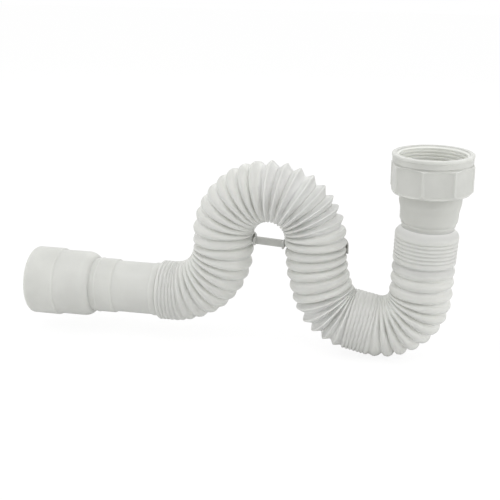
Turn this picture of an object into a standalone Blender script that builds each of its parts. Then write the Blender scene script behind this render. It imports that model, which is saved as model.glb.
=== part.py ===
"""Flexible sink trap: a bellows hose held in its water-seal bend, with an inlet nut and an outlet sleeve.

The bend lies in the XZ plane. The inlet points up (+Z) and its seal face is at the origin. The outlet points
along -X. All sizes are real sizes in metres.
"""
import math

import bmesh
import bpy
from mathutils import Matrix

MM = 0.001

# Shared fits
TOUCH_GAP = 0.3 * MM        # between two pieces that rest on each other
RUNNING_GAP = 0.4 * MM      # between a turning piece and its journal
MERGE = 0.00001

# Bellows hose
CREST_RADIUS = 21.8 * MM
FOLD_DEPTH = 4.5 * MM
HOSE_WALL = 1.3 * MM        # measured along the radius
HOSE_SIDES = 16

# Folds from the inlet to the outlet: how many, and how far apart along the centre line.
# At a pitch under SHUT_PITCH the folds are pushed shut and only their tips stand apart.
FOLD_ZONES = (
    (5, 2.66 * MM),
    (1, 3.9 * MM),
    (1, 8.7 * MM),
    (1, 8.2 * MM),
    (1, 8.0 * MM),
    (8, 5.6 * MM),
    (7, 2.66 * MM),
    (4, 5.1 * MM),
    (2, 6.1 * MM),
    (1, 8.8 * MM),
    (2, 6.95 * MM),
    (2, 6.15 * MM),
    (2, 5.8 * MM),
    (2, 4.8 * MM),
    (3, 6.3 * MM),
    (3, 6.6 * MM),
    (3, 5.7 * MM),
    (3, 6.2 * MM),
    (1, 6.8 * MM),
    (2, 7.05 * MM),
    (8, 5.93 * MM),
    (6, 2.7 * MM),
)
CREST_PLACE = 0.57          # how far along each fold its crest stands
SHUT_PITCH = 4.0 * MM
SHUT_DEPTH = 1.6 * MM

# Centre line of the bend, from the inlet seal face: length and turn of each stretch.
# The first stretch heads down and a positive turn is towards -X.
ROUTE = (
    (11.0 * MM, 0.0),       # inside the nut
    (14.0 * MM, 2.6),
    (61.0 * MM, 0.0),       # inlet leg
    (47.5 * MM, 99.3),      # first half of the water seal
    (16.5 * MM, 0.0),       # bottom, where the folds are shut
    (25.1 * MM, 58.1),      # second half of the water seal
    (41.1 * MM, 20.0),      # rising leg
    (104.3 * MM, -180.0),   # arch
    (9.1 * MM, 0.0),        # falling leg
    (58.5 * MM, 90.0),      # sweep to the outlet
    (60.0 * MM, 0.0),       # outlet run
)
ARCH_STRETCH = 7            # its place in the list, counted from 0
ROUTE_STEP = 1.5 * MM

# Inlet end of the hose. Its neck goes with the folds, and flange, washer and nut go with the neck.
NECK_RADIUS = CREST_RADIUS - 2.2 * MM
NECK_WALL = 2.1 * MM
INLET_BORE = NECK_RADIUS - NECK_WALL
BEAD_RADIUS = NECK_RADIUS + 1.5 * MM
FLANGE_RADIUS = NECK_RADIUS + 3.3 * MM
FLANGE_THICK = 3.3 * MM
WASHER_THICK = 3.0 * MM
BEAD_LENGTH = 9.9 * MM
NECK_LENGTH = 10.6 * MM
GROOVE_LENGTH = 3.6 * MM
SHOULDER_LENGTH = 4.6 * MM  # slope from the groove up to the first crest
FIRST_FLANK = 3.3 * MM      # from the first crest to its valley

# Coupling nut
NUT_BORE_RADIUS = FLANGE_RADIUS + RUNNING_GAP
NUT_WALL = 5.4 * MM         # at the grip's corners
COLLAR_WALL = 3.7 * MM
NUT_CORNER_RADIUS = NUT_BORE_RADIUS + NUT_WALL
COLLAR_RADIUS = NUT_BORE_RADIUS + COLLAR_WALL
NUT_SIDES = 8
NUT_BORE_SIDES = 4 * NUT_SIDES
NUT_TURN = math.radians(13.0)
NUT_EDGE = 1.8 * MM
COLLAR_HEIGHT = 5.9 * MM
NUT_MOUTH = 14.3 * MM       # above the seal face
NUT_LIP = 5.3 * MM
NUT_BASE_ROUND = 2.2 * MM

# Outlet sleeve, from the hose outwards
SPIGOT_RADIUS = 16.7 * MM
SPIGOT_LENGTH = 14.0 * MM
SLEEVE_WALL = 1.8 * MM
SLEEVE_STEPS = (
    (4.5 * MM, 19.5 * MM),      # end bead
    (28.8 * MM, 18.9 * MM),     # body
    (17.4 * MM, 19.9 * MM),     # small pipe size
    (21.0 * MM, 23.9 * MM),     # step
    (23.0 * MM, 25.0 * MM),     # large pipe size
)
SLEEVE_CONE = 5.3 * MM
SLEEVE_LIP_ROUND = 3.0 * MM
SLEEVE_SIDES = 24

# Bend clip
CLIP_CLEARANCE = 0.5 * MM
CLIP_THICK = 1.6 * MM
CLIP_HEIGHT = 11.0 * MM
CLIP_BAR_HEIGHT = 5.2 * MM
CLIP_BAR_THICK = 2.4 * MM
CLIP_BAR_BELOW = 0.8 * MM    # under the saddles' top
CLIP_BAR_BACK = 1.5 * MM    # behind the plane of the bend
CLIP_OUTER_WRAP = math.radians(82.0)     # from the back of a leg to its far side
CLIP_INNER_WRAP = math.radians(98.0)     # from the back of a leg to the side with the bar
CLIP_SLANT = 1.3 * MM       # how much higher the outlet side's saddle stands
CLIP_DROP = 6.9 * MM        # below the foot of the arch
CLIP_ARC_STEPS = 18


def clear_scene():
    for obj in list(bpy.data.objects):
        bpy.data.objects.remove(obj, do_unlink=True)


def new_collection(name):
    collection = bpy.data.collections.new(name)
    bpy.context.scene.collection.children.link(collection)
    return collection


def plastic(name, colour, roughness):
    material = bpy.data.materials.new(name)
    material.use_nodes = True
    shader = material.node_tree.nodes["Principled BSDF"]
    shader.inputs["Base Color"].default_value = (*colour, 1.0)
    shader.inputs["Roughness"].default_value = roughness
    shader.inputs["Metallic"].default_value = 0.0
    material.diffuse_color = (*colour, 1.0)
    return material


def mesh_object(name, mesh, collection, material=None):
    obj = bpy.data.objects.new(name, mesh)
    collection.objects.link(obj)
    if material is not None:
        mesh.materials.append(material)
    return obj


def make_guide(obj):
    obj.hide_render = True
    obj.display_type = "WIRE"


def profile_mesh(name, points):
    """A closed outline of (radius, height) points in the XZ plane, ready to be turned."""
    mesh = bpy.data.meshes.new(name)
    count = len(points)
    edges = [(index, (index + 1) % count) for index in range(count)]
    mesh.from_pydata([(radius, 0.0, height) for radius, height in points], edges, [])
    return mesh


def turn(obj, sides):
    screw = obj.modifiers.new("turn", "SCREW")
    screw.axis = "Z"
    screw.angle = math.tau
    screw.steps = sides
    screw.render_steps = sides
    screw.use_merge_vertices = True
    screw.merge_threshold = MERGE
    screw.use_smooth_shade = True
    return screw


def turned(name, points, sides, collection, material=None):
    obj = mesh_object(name, profile_mesh(name, points), collection, material)
    turn(obj, sides)
    return obj


def boolean(obj, tool, operation):
    modifier = obj.modifiers.new(tool.name, "BOOLEAN")
    modifier.operation = operation
    modifier.solver = "EXACT"
    modifier.object = tool
    return modifier


def route_at(distance):
    """Position (x, z) and heading of the bend's centre line at a distance from the inlet seal face."""
    x = 0.0
    z = 0.0
    heading = 0.0
    left = distance
    for length, turn_degrees in ROUTE:
        part = min(left, length)
        bend = math.radians(turn_degrees) * part / length
        if abs(bend) < 1e-9:
            x -= math.sin(heading) * part
            z -= math.cos(heading) * part
        else:
            radius = part / bend
            x += radius * (math.cos(heading + bend) - math.cos(heading))
            z -= radius * (math.sin(heading + bend) - math.sin(heading))
            heading += bend
        left -= part
        if left <= 0.0:
            break
    return x, z, heading


def route_curve(collection):
    """The bend's centre line as a guide curve."""
    length = sum(stretch for stretch, _ in ROUTE)
    steps = math.ceil(length / ROUTE_STEP)
    data = bpy.data.curves.new("route", "CURVE")
    data.dimensions = "3D"
    data.twist_mode = "MINIMUM"
    spline = data.splines.new("POLY")
    spline.points.add(steps)
    for index in range(steps + 1):
        x, z, _ = route_at(length * index / steps)
        spline.points[index].co = (x, 0.0, z, 1.0)
    guide = bpy.data.objects.new("route", data)
    collection.objects.link(guide)
    make_guide(guide)
    return guide


def flange_top():
    return WASHER_THICK + TOUCH_GAP


def flange_bottom():
    return flange_top() + FLANGE_THICK


def nut_bottom():
    return flange_bottom() + TOUCH_GAP + NUT_LIP


def first_crest():
    return nut_bottom() + TOUCH_GAP + BEAD_LENGTH + NECK_LENGTH + GROOVE_LENGTH + SHOULDER_LENGTH


def hose_end():
    return first_crest() + FIRST_FLANK + sum(count * pitch for count, pitch in FOLD_ZONES)


def fold_outline(inward):
    """Zigzag of (radius, distance) points through every fold, from the first crest to the last valley."""
    crest = CREST_RADIUS - inward
    distance = first_crest() + FIRST_FLANK
    points = [(crest, first_crest()), (crest - SHUT_DEPTH, distance)]
    for count, pitch in FOLD_ZONES:
        depth = SHUT_DEPTH if pitch < SHUT_PITCH else FOLD_DEPTH
        for _ in range(count):
            points.append((crest, distance + pitch * CREST_PLACE))
            distance += pitch
            points.append((crest - depth, distance))
    return points


def hose_outline():
    """Closed (radius, distance) outline of the hose wall along its straightened centre line."""
    valley = CREST_RADIUS - FOLD_DEPTH
    bead_top = nut_bottom() + TOUCH_GAP
    neck_top = bead_top + BEAD_LENGTH
    groove_top = neck_top + NECK_LENGTH
    ease = 0.8 * MM
    outer = [
        (FLANGE_RADIUS, flange_top()),
        (FLANGE_RADIUS, flange_bottom()),
        (NECK_RADIUS, flange_bottom()),
        (NECK_RADIUS, bead_top),
        (BEAD_RADIUS, bead_top + ease / 2),
        (BEAD_RADIUS, neck_top - ease),
        (NECK_RADIUS, neck_top),
        (NECK_RADIUS - ease / 2, groove_top - 2 * ease),
        (valley, groove_top + GROOVE_LENGTH),
    ]
    outer += fold_outline(0.0)
    outer += [
        (SPIGOT_RADIUS, hose_end()),
        (SPIGOT_RADIUS, hose_end() + SPIGOT_LENGTH),
    ]
    inner = [
        (INLET_BORE, flange_top()),
        (INLET_BORE, groove_top - 2 * ease),
        (valley - HOSE_WALL, groove_top + GROOVE_LENGTH),
    ]
    inner += fold_outline(HOSE_WALL)[:-1]
    inner += [
        (SPIGOT_RADIUS - HOSE_WALL, hose_end() - ease),
        (SPIGOT_RADIUS - HOSE_WALL, hose_end() + SPIGOT_LENGTH),
    ]
    return list(reversed(outer)) + inner


def make_hose(collection, guides, material):
    hose = turned("bellows_hose", hose_outline(), HOSE_SIDES, collection, material)
    follow = hose.modifiers.new("follow route", "CURVE")
    follow.object = route_curve(guides)
    follow.deform_axis = "POS_Z"
    return hose


def sleeve_outline():
    """Closed (radius, distance) outline of the outlet sleeve from its hose end."""
    outer = []
    distance = 0.0
    previous = None
    ease = 0.6 * MM
    for length, radius in SLEEVE_STEPS:
        if previous is not None and radius - previous > SLEEVE_WALL:
            distance += SLEEVE_CONE
        outer.append((radius - ease * (previous is None), distance + ease * (previous is not None)))
        if previous is None:
            outer.append((radius, ease))
        distance += length
        outer.append((radius, distance))
        previous = radius
    socket = outer[-1][0]
    outer.pop()
    for step in range(4):
        angle = math.radians(90.0) * step / 3
        outer.append((
            socket - SLEEVE_LIP_ROUND * (1 - math.cos(angle)),
            distance - SLEEVE_LIP_ROUND * (1 - math.sin(angle)),
        ))
    mouth = socket - SLEEVE_LIP_ROUND - SLEEVE_WALL / 2
    bore = SPIGOT_RADIUS + RUNNING_GAP
    small_end = sum(length for length, _ in SLEEVE_STEPS[:3])
    wide_start = small_end + SLEEVE_CONE
    inner = [
        (bore, 0.0),
        (bore, small_end - SLEEVE_WALL),
        (SLEEVE_STEPS[3][1] - SLEEVE_WALL, wide_start),
        (SLEEVE_STEPS[3][1] - SLEEVE_WALL, distance - SLEEVE_LIP_ROUND),
        (mouth, distance - SLEEVE_WALL),
        (mouth, distance),
    ]
    return list(reversed(outer)) + inner


def make_sleeve(collection, material):
    sleeve = turned("outlet_sleeve", sleeve_outline(), SLEEVE_SIDES, collection, material)
    x, z, heading = route_at(hose_end() + TOUCH_GAP)
    sleeve.location = (x, 0.0, z)
    sleeve.rotation_euler = (0.0, math.pi + heading, 0.0)
    return sleeve


def make_nut(collection, cutters, material):
    """Eight-sided grip under a plain collar, with a rounded base and an inward lip."""
    base = -nut_bottom()
    grip_top = NUT_MOUTH - COLLAR_HEIGHT
    grip_height = grip_top - base
    mesh = bpy.data.meshes.new("coupling_nut")
    shape = bmesh.new()
    centre = Matrix.Translation((0.0, 0.0, base + grip_height / 2))
    facing = Matrix.Rotation(NUT_TURN + math.pi / NUT_SIDES, 4, "Z")
    bmesh.ops.create_cone(
        shape,
        cap_ends=True,
        segments=NUT_SIDES,
        radius1=NUT_CORNER_RADIUS,
        radius2=NUT_CORNER_RADIUS,
        depth=grip_height,
        matrix=centre @ facing,
    )
    upright = [edge for edge in shape.edges if abs((edge.verts[0].co - edge.verts[1].co).z) > grip_height / 2]
    bmesh.ops.bevel(
        shape,
        geom=upright,
        offset=NUT_EDGE,
        offset_type="OFFSET",
        segments=3,
        profile=0.5,
        affect="EDGES",
    )
    shape.to_mesh(mesh)
    shape.free()
    nut = mesh_object("coupling_nut", mesh, collection, material)

    over = 1.0 * MM
    outside = NUT_CORNER_RADIUS + over
    envelope = turned(
        "nut_base_round",
        [
            (outside, grip_top + over),
            (outside, base + NUT_BASE_ROUND + over / 2),
            (NUT_CORNER_RADIUS - 0.3 * NUT_BASE_ROUND, base + 0.7 * NUT_BASE_ROUND),
            (NUT_CORNER_RADIUS - 2 * NUT_BASE_ROUND, base),
            (NUT_CORNER_RADIUS - 2 * NUT_BASE_ROUND, base - over),
            (0.0, base - over),
            (0.0, grip_top + over),
        ],
        NUT_BORE_SIDES,
        cutters,
    )
    collar = turned(
        "nut_collar",
        [
            (COLLAR_RADIUS - 0.8 * MM, NUT_MOUTH),
            (COLLAR_RADIUS, NUT_MOUTH - 0.8 * MM),
            (COLLAR_RADIUS, grip_top - over),
            (0.0, grip_top - over),
            (0.0, NUT_MOUTH),
        ],
        NUT_BORE_SIDES,
        cutters,
    )
    thread_bore = NUT_BORE_RADIUS
    lip_bore = NECK_RADIUS + RUNNING_GAP
    bore = turned(
        "nut_bore",
        [
            (thread_bore + over, NUT_MOUTH + over),
            (thread_bore + over, NUT_MOUTH),
            (thread_bore, NUT_MOUTH - over),
            (thread_bore, base + NUT_LIP),
            (lip_bore, base + NUT_LIP),
            (lip_bore, base - over),
            (0.0, base - over),
            (0.0, NUT_MOUTH + over),
        ],
        NUT_BORE_SIDES,
        cutters,
    )
    for tool in (envelope, collar, bore):
        make_guide(tool)
    boolean(nut, envelope, "INTERSECT")
    boolean(nut, collar, "UNION")
    boolean(nut, bore, "DIFFERENCE")
    return nut


def make_washer(collection, material):
    return turned(
        "sealing_washer",
        [
            (FLANGE_RADIUS, 0.0),
            (FLANGE_RADIUS, -WASHER_THICK),
            (INLET_BORE, -WASHER_THICK),
            (INLET_BORE, 0.0),
        ],
        2 * HOSE_SIDES,
        collection,
        material,
    )


def clip_place():
    """The two legs' centre lines under the arch, and the level of the clip across them."""
    before_arch = sum(length for length, _ in ROUTE[:ARCH_STRETCH])
    after_arch = before_arch + ROUTE[ARCH_STRETCH][0]
    right_x, level, _ = route_at(before_arch - CLIP_DROP)
    left_x, _, _ = route_at(after_arch + CLIP_DROP)
    return left_x, right_x, level


def saddle_points(inner, outer, bar_side):
    """C outline around the back of one leg, in plan. The bar is on its -X side if bar_side is -1."""
    steps = CLIP_ARC_STEPS
    wrap = CLIP_INNER_WRAP + CLIP_OUTER_WRAP
    angles = [bar_side * (CLIP_INNER_WRAP - wrap * step / steps) for step in range(steps + 1)]
    outward = [(outer * math.sin(angle), outer * math.cos(angle)) for angle in angles]
    inward = [(inner * math.sin(angle), inner * math.cos(angle)) for angle in reversed(angles)]
    return outward + inward


def prism(name, outline, height, collection, material=None):
    """A flat outline in plan, raised to a height about its middle."""
    mesh = bpy.data.meshes.new(name)
    shape = bmesh.new()
    face = shape.faces.new([shape.verts.new((x, y, -height / 2)) for x, y in outline])
    if face.normal.z > 0:
        face.normal_flip()
    raised = bmesh.ops.extrude_face_region(shape, geom=[face])
    tops = [item for item in raised["geom"] if isinstance(item, bmesh.types.BMVert)]
    bmesh.ops.translate(shape, verts=tops, vec=(0.0, 0.0, height))
    bmesh.ops.recalc_face_normals(shape, faces=shape.faces)
    shape.to_mesh(mesh)
    shape.free()
    return mesh_object(name, mesh, collection, material)


def make_clip(collection, cutters, material):
    """One moulding: a bar between two saddles that hold the legs of the arch apart."""
    left_x, right_x, level = clip_place()
    inner = CREST_RADIUS + CLIP_CLEARANCE
    outer = inner + CLIP_THICK
    clip = prism("bend_clip", saddle_points(inner, outer, -1), CLIP_HEIGHT, collection, material)
    clip.location = (right_x, 0.0, level)
    saddle = prism("clip_left_saddle", saddle_points(inner, outer, 1), CLIP_HEIGHT, cutters)
    saddle.location = (left_x, 0.0, level + CLIP_SLANT)

    # The bar ends inside the saddles' walls, a little below their tops.
    into_wall = math.sqrt((inner + CLIP_THICK / 2) ** 2 - CLIP_BAR_BACK ** 2)
    span = right_x - left_x - 2 * into_wall
    top = CLIP_HEIGHT / 2 - CLIP_BAR_BELOW
    low = top - CLIP_BAR_HEIGHT
    outline = [(0.0, low), (0.0, top), (-span, top + CLIP_SLANT), (-span, low + CLIP_SLANT)]
    bar = prism("clip_bar", outline, CLIP_BAR_THICK, cutters)
    bar.location = (right_x - into_wall, CLIP_BAR_BACK, level)
    bar.rotation_euler = (math.radians(90.0), 0.0, 0.0)
    for tool in (saddle, bar):
        make_guide(tool)
        boolean(clip, tool, "UNION")
    return clip


def main():
    clear_scene()
    parts = new_collection("flexible_sink_trap")
    cutters = new_collection("cutters")
    hose_plastic = plastic("hose_plastic", (0.60, 0.61, 0.57), 0.42)
    nut_plastic = plastic("nut_plastic", (0.57, 0.58, 0.54), 0.38)
    sleeve_plastic = plastic("sleeve_plastic", (0.62, 0.63, 0.60), 0.40)
    clip_plastic = plastic("clip_plastic", (0.42, 0.42, 0.40), 0.45)
    rubber = plastic("washer_rubber", (0.05, 0.05, 0.05), 0.75)
    make_hose(parts, cutters, hose_plastic)
    make_sleeve(parts, sleeve_plastic)
    make_nut(parts, cutters, nut_plastic)
    make_washer(parts, rubber)
    make_clip(parts, cutters, clip_plastic)


main()
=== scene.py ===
"""Flexible sink trap: the detailed pieces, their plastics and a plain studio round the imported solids."""
import math
import random

import bmesh
import bpy
import numpy
from bpy.props import FloatProperty, FloatVectorProperty, IntProperty, PointerProperty
from mathutils import Matrix, Vector


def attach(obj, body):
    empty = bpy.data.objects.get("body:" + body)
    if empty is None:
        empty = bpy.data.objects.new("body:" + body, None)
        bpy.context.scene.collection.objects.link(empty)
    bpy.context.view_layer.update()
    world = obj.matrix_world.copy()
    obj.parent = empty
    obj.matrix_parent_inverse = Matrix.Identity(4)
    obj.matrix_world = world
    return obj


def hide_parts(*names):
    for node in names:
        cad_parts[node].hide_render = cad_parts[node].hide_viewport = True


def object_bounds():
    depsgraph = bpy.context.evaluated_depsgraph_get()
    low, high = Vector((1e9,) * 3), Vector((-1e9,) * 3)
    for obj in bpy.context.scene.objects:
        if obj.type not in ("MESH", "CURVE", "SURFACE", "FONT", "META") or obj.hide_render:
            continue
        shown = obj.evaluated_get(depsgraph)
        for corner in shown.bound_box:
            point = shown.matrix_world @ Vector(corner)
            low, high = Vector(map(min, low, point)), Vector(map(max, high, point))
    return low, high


bl_info = {
    "name": "Flexible sink trap",
    "version": (1, 0, 0),
    "blender": (4, 5, 0),
    "location": "3D View > Sidebar > Sink trap",
    "description": "Builds a sink trap's bellows hose, inlet nut, outlet sleeve, washer, clip and studio",
    "category": "Mesh",
}

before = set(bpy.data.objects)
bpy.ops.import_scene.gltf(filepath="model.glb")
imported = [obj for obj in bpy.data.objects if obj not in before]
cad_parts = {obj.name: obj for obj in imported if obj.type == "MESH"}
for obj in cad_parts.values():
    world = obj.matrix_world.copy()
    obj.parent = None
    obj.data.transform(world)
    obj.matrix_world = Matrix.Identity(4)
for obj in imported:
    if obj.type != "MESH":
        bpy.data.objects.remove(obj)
CAD_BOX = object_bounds()

MM = 0.001
MERGE = 0.000002

# Centre line of the bend from the inlet seal face: length and turn in degrees of each stretch.
# The first stretch heads down and a positive turn is towards -X.
ROUTE = (
    (11.0 * MM, 0.0),
    (14.0 * MM, 2.6),
    (61.0 * MM, 0.0),
    (47.5 * MM, 99.3),
    (16.5 * MM, 0.0),
    (25.1 * MM, 58.1),
    (41.1 * MM, 20.0),
    (104.3 * MM, -180.0),
    (9.1 * MM, 0.0),
    (58.5 * MM, 90.0),
    (60.0 * MM, 0.0),
)
ARCH_STRETCH = 7
ROUTE_STEP = 0.8 * MM

# Radii of the hose, and how long its plain end is
CREST_RADIUS = 21.8 * MM
FLANGE_RADIUS = 22.9 * MM
INLET_BORE = 17.5 * MM
SPIGOT_RADIUS = 16.7 * MM
SPIGOT_LENGTH = 14.0 * MM

# Levels along the hose, from the seal face
WASHER_THICK = 3.0 * MM
FLANGE_TOP = 3.3 * MM
FLANGE_BOTTOM = 6.6 * MM
NUT_BOTTOM = 12.2 * MM
BAND_TOP = 12.5 * MM
BAND_BOTTOM = 22.4 * MM
GROOVE_TOP = 33.0 * MM
NECK_END = GROOVE_TOP - 1.6 * MM
GROOVE_BOTTOM = 36.6 * MM
FIRST_CREST = 41.2 * MM
FIRST_VALLEY = 44.5 * MM

# How many folds, and how far apart, from the inlet to the outlet. Under SHUT_PITCH they are pushed shut.
SHUT_PITCH = 4.0 * MM
SHUT_DEPTH = 1.6 * MM
FOLD_DEPTH = 4.5 * MM
FOLD_ZONES = (
    (5, 2.66 * MM),
    (1, 3.9 * MM),
    (1, 8.7 * MM),
    (1, 8.2 * MM),
    (1, 8.0 * MM),
    (8, 5.6 * MM),
    (7, 2.66 * MM),
    (4, 5.1 * MM),
    (2, 6.1 * MM),
    (1, 8.8 * MM),
    (2, 6.95 * MM),
    (2, 6.15 * MM),
    (2, 5.8 * MM),
    (2, 4.8 * MM),
    (3, 6.3 * MM),
    (3, 6.6 * MM),
    (3, 5.7 * MM),
    (3, 6.2 * MM),
    (1, 6.8 * MM),
    (2, 7.05 * MM),
    (8, 5.93 * MM),
    (6, 2.7 * MM),
)

# Stretches of the hose where the crests stand up sharp
SHARP_STRETCHES = ((149.0 * MM, 177.0 * MM), (226.0 * MM, 273.0 * MM))


class HoseSizes(bpy.types.PropertyGroup):
    crest: FloatProperty(
        name="Crest radius", description="Radius at the top of a fold", default=CREST_RADIUS, unit="LENGTH"
    )
    valley: FloatProperty(
        name="Valley radius", description="Radius at the foot of a fold", default=17.9 * MM, unit="LENGTH"
    )
    wall: FloatProperty(
        name="Wall", description="Thickness of the blown wall", default=1.3 * MM, unit="LENGTH"
    )
    neck: FloatProperty(
        name="Neck radius", description="Radius of the plain neck under the nut",
        default=19.6 * MM, unit="LENGTH",
    )
    band: FloatProperty(
        name="Band radius", description="Radius of the raised band on the neck",
        default=21.1 * MM, unit="LENGTH",
    )
    crest_place: FloatProperty(
        name="Crest place", description="How far along a fold its crest stands", default=0.57
    )
    crest_round: FloatProperty(
        name="Crest round", description="How far a soft crest is cut back", default=0.75 * MM, unit="LENGTH"
    )
    sharp_extra: FloatProperty(
        name="Sharp depth", description="How much deeper the sharp folds are",
        default=0.35 * MM, unit="LENGTH",
    )
    crest_sharp: FloatProperty(
        name="Sharp crest", description="How far a sharp crest is cut back",
        default=0.55 * MM, unit="LENGTH",
    )
    valley_round: FloatProperty(
        name="Valley round", description="How far the valley's corner is filled",
        default=0.5 * MM, unit="LENGTH",
    )
    rib_depth: FloatProperty(
        name="Rib depth", description="Depth between folds that are pushed shut",
        default=0.9 * MM, unit="LENGTH",
    )
    rib_end: FloatProperty(
        name="Last rib depth", description="Depth after the last shut fold", default=1.9 * MM, unit="LENGTH"
    )
    lean: FloatProperty(
        name="Lean", description="How much the folds lean after bending by hand", default=0.012
    )
    sides: IntProperty(name="Sides", description="Facets round the hose", default=88, min=24, max=128)
    colour: FloatVectorProperty(
        name="Colour", description="Body colour of the hose", default=(0.64, 0.645, 0.613), subtype="COLOR"
    )


class SleeveSizes(bpy.types.PropertyGroup):
    wall: FloatProperty(
        name="Wall", description="Thickness of the moulded wall", default=1.8 * MM, unit="LENGTH"
    )
    bore: FloatProperty(
        name="Bore", description="Radius of the socket over the hose's plain end",
        default=17.1 * MM, unit="LENGTH",
    )
    lip_round: FloatProperty(
        name="Lip round", description="Rounding of the open end", default=3.0 * MM, unit="LENGTH"
    )
    sides: IntProperty(name="Sides", description="Facets round the sleeve", default=128, min=24, max=160)
    colour: FloatVectorProperty(
        name="Colour", description="Body colour of the sleeve",
        default=(0.635, 0.64, 0.612), subtype="COLOR",
    )


class NutSizes(bpy.types.PropertyGroup):
    corner: FloatProperty(
        name="Corner radius", description="Radius over the corners of the grip",
        default=28.7 * MM, unit="LENGTH",
    )
    corner_round: FloatProperty(
        name="Corner round", description="Rounding of the upright edges", default=1.21 * MM, unit="LENGTH"
    )
    collar: FloatProperty(
        name="Collar radius", description="Radius of the plain collar", default=27.0 * MM, unit="LENGTH"
    )
    collar_height: FloatProperty(
        name="Collar height", description="Height of the plain collar", default=6.8 * MM, unit="LENGTH"
    )
    mouth: FloatProperty(
        name="Mouth", description="Height of the mouth over the seal face", default=14.3 * MM, unit="LENGTH"
    )
    pitch: FloatProperty(
        name="Thread pitch", description="Distance between two turns of the thread",
        default=2.31 * MM, unit="LENGTH",
    )
    turns: IntProperty(name="Thread turns", description="Turns of the thread", default=5, min=1, max=8)
    colour: FloatVectorProperty(
        name="Colour", description="Body colour of the nut", default=(0.578, 0.583, 0.555), subtype="COLOR"
    )


class ClipSizes(bpy.types.PropertyGroup):
    clearance: FloatProperty(
        name="Clearance", description="Room between the crests and the clip",
        default=0.5 * MM, unit="LENGTH",
    )
    thick: FloatProperty(
        name="Thickness", description="Thickness of the saddles", default=1.6 * MM, unit="LENGTH"
    )
    height: FloatProperty(
        name="Height", description="Height of the saddles", default=11.0 * MM, unit="LENGTH"
    )
    bar_height: FloatProperty(
        name="Bar height", description="Height of the bar", default=5.2 * MM, unit="LENGTH"
    )
    bar_thick: FloatProperty(
        name="Bar thickness", description="Thickness of the bar", default=2.4 * MM, unit="LENGTH"
    )
    # The clip's colour is set darker than the hose's: painted shade, for the shade the bar lies in between
    # the legs.
    colour: FloatVectorProperty(
        name="Colour", description="Body colour of the clip", default=(0.51, 0.513, 0.494), subtype="COLOR"
    )


class WasherSizes(bpy.types.PropertyGroup):
    outer: FloatProperty(
        name="Outer radius", description="Outer radius of the washer", default=FLANGE_RADIUS, unit="LENGTH"
    )
    bore: FloatProperty(
        name="Bore", description="Inner radius of the washer", default=INLET_BORE, unit="LENGTH"
    )
    colour: FloatVectorProperty(
        name="Colour", description="Colour of the rubber", default=(0.02, 0.02, 0.021), subtype="COLOR"
    )


class StudioSizes(bpy.types.PropertyGroup):
    sky: FloatProperty(name="Sky", description="Level of the even light all round", default=0.74)
    top: FloatProperty(
        name="Top light", description="Power of the large lamp above", default=3.0, unit="POWER"
    )
    right: FloatProperty(
        name="Right light", description="Power of the lamp on the inlet side", default=2.9, unit="POWER"
    )
    behind: FloatProperty(
        name="Back light", description="Power of the lamp behind", default=1.8, unit="POWER"
    )
    left: FloatProperty(
        name="Left light", description="Power of the lamp on the outlet side", default=1.95, unit="POWER"
    )


# Shared steps


def deselect():
    if bpy.context.mode != "OBJECT":
        bpy.ops.object.mode_set(mode="OBJECT")
    bpy.ops.object.select_all(action="DESELECT")


def activate(obj):
    deselect()
    obj.select_set(True)
    bpy.context.view_layer.objects.active = obj


def edit(obj, kind="VERT"):
    activate(obj)
    bpy.ops.object.mode_set(mode="EDIT")
    bpy.ops.mesh.select_mode(type=kind)


def finish_edit():
    bpy.ops.object.mode_set(mode="OBJECT")


def pick(obj, kind, test):
    """Selects in edit mode the vertices, edges or faces that pass a test, and returns how many did."""
    bpy.ops.mesh.select_all(action="DESELECT")
    shape = bmesh.from_edit_mesh(obj.data)
    items = {"VERT": shape.verts, "EDGE": shape.edges, "FACE": shape.faces}[kind]
    found = 0
    for item in items:
        if test(item):
            item.select_set(True)
            found += 1
    shape.select_flush_mode()
    bmesh.update_edit_mesh(obj.data)
    return found


def middle(edge):
    return (edge.verts[0].co + edge.verts[1].co) / 2


def draw_line(name, points):
    """A line of edges through (x, z) points, drawn from one vertex by extruding it."""
    deselect()
    bpy.ops.mesh.primitive_plane_add(size=MM, location=(0.0, 0.0, 0.0))
    obj = bpy.context.object
    obj.name = name
    obj.data.name = name
    edit(obj)
    bpy.ops.mesh.select_all(action="SELECT")
    bpy.ops.mesh.merge(type="CENTER")
    bpy.ops.transform.translate(value=(points[0][0], 0.0, points[0][1]))
    for here, there in zip(points, points[1:]):
        step = (there[0] - here[0], 0.0, there[1] - here[1])
        bpy.ops.mesh.extrude_region_move(TRANSFORM_OT_translate={"value": step})
    finish_edit()
    return obj


def draw_outline(name, points):
    """A closed outline through (radius, height) points in the XZ plane."""
    obj = draw_line(name, points + [points[0]])
    edit(obj)
    bpy.ops.mesh.select_all(action="SELECT")
    bpy.ops.mesh.remove_doubles(threshold=MERGE)
    finish_edit()
    return obj


def round_corners(obj, amount, segments, test):
    """Rounds the corners of an outline that pass a test on (radius, height)."""
    edit(obj)
    if pick(obj, "VERT", lambda vertex: test(vertex.co.x, vertex.co.z)):
        bpy.ops.mesh.bevel(
            affect="VERTICES", offset=amount, segments=segments, profile=0.5, clamp_overlap=True
        )
    finish_edit()


def round_between(obj, amount, segments, radii, levels):
    """Rounds the corners whose radius and height lie between two values each."""
    round_corners(
        obj, amount, segments, lambda r, z: radii[0] < r < radii[1] and levels[0] < z < levels[1]
    )


def close_solid():
    """Merges double points, turns the faces outwards and leaves edit mode."""
    bpy.ops.mesh.select_all(action="SELECT")
    bpy.ops.mesh.remove_doubles(threshold=MERGE)
    bpy.ops.mesh.normals_make_consistent(inside=False)
    finish_edit()


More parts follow.
